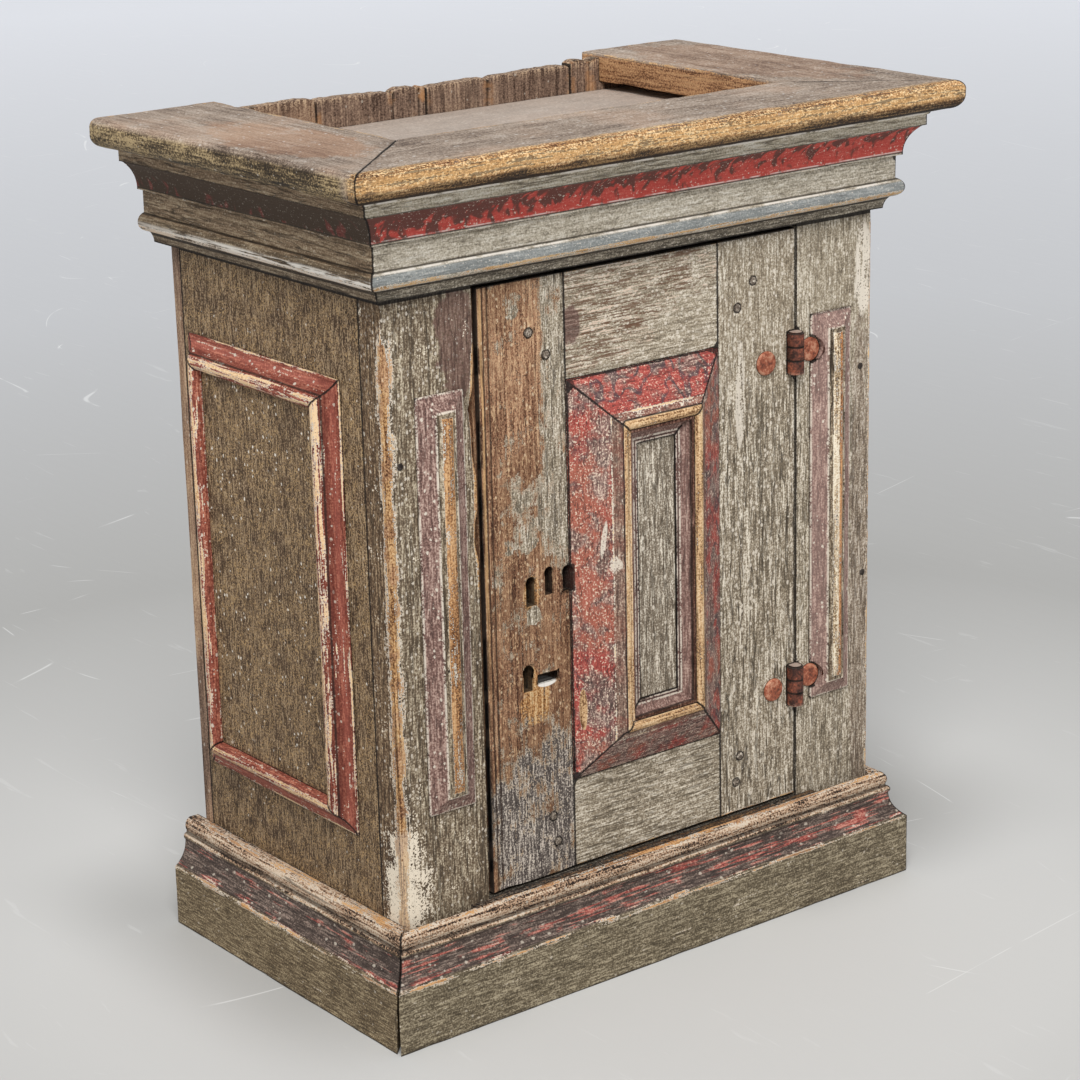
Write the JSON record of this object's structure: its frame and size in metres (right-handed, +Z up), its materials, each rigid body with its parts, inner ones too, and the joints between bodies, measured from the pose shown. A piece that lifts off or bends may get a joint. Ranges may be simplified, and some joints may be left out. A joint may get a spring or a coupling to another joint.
{
  "type": "wall cabinet",
  "caption": "Old painted wooden wall cabinet with a moulded plinth and cornice, a framed and panelled door on barrel hinges, and a recess in the top.",
  "frame": {"origin": "on the surface the cabinet stands on, under the middle of the whole cabinet's box", "axes": "+Z is up, the door faces -Y, +Y points to the wall, +X is to the right seen from the front"},
  "size_m": [0.692, 0.4104, 0.8],
  "materials": {
    "grey_paint": "worn matt grey-green paint on wood",
    "red_paint": "worn matt marbled red paint on wood",
    "bare_wood": "bare aged softwood",
    "dusty_top_wood": "dusty aged softwood with traces of paint",
    "iron": "rusted forged iron"
  },
  "bodies": {
    "carcass": {"back_board_1": "bare_wood", "back_board_2": "bare_wood", "back_board_3": "bare_wood", "back_board_4": "bare_wood", "ceiling_board": "dusty_top_wood", "crown_front": "red_paint", "crown_left": "red_paint", "crown_right": "red_paint", "door_sill": "bare_wood", "floor_board": "bare_wood", "frieze_front": "grey_paint", "frieze_left": "grey_paint", "frieze_right": "grey_paint", "front_bottom_rail": "grey_paint", "front_stile_left": "grey_paint", "front_stile_right": "grey_paint", "front_top_rail": "grey_paint", "hinge_lower_stile_leaf": "iron", "hinge_nails_stile": "iron", "hinge_pins": "iron", "hinge_upper_stile_leaf": "iron", "plinth_front": "grey_paint", "plinth_left": "grey_paint", "plinth_right": "grey_paint", "shelf": "bare_wood", "shelf_cleats": "bare_wood", "side_board_left": "grey_paint", "side_board_right": "grey_paint", "side_field_left": "grey_paint", "side_field_right": "grey_paint", "side_moulding_left_back": "grey_paint", "side_moulding_left_bottom": "grey_paint", "side_moulding_left_front": "grey_paint", "side_moulding_left_top": "grey_paint", "side_moulding_right_back": "grey_paint", "side_moulding_right_bottom": "grey_paint", "side_moulding_right_front": "grey_paint", "side_moulding_right_top": "grey_paint", "stile_strip_left": "grey_paint", "stile_strip_right": "grey_paint", "top_board_front": "dusty_top_wood", "top_board_left": "dusty_top_wood", "top_board_right": "dusty_top_wood"},
    "door": {"door_border_bottom": "red_paint", "door_border_left": "red_paint", "door_border_right": "red_paint", "door_border_top": "red_paint", "door_bottom_rail": "grey_paint", "door_field": "grey_paint", "door_hinge_stile": "grey_paint", "door_inner_bead": "red_paint", "door_lock_stile": "bare_wood", "door_pegs": "bare_wood", "door_top_rail": "grey_paint", "hinge_lower_door_leaf": "iron", "hinge_nails_door": "iron", "hinge_upper_door_leaf": "iron", "lock_nails": "iron", "lock_plate": "iron"},
    "lock_bolt": {"lock_bolt": "iron"}
  },
  "joints": [
    {"name": "door_hinge", "type": "hinge", "parent": "carcass", "child": "door", "pos_m": [0.1845, -0.14725, 0.39], "axis": [0, 0, 1], "range_deg": [0, 155]},
    {"name": "bolt_slide", "type": "slide", "parent": "door", "child": "lock_bolt", "axis": [-1, 0, 0], "range_m": [0, 0.016]}
  ]
}
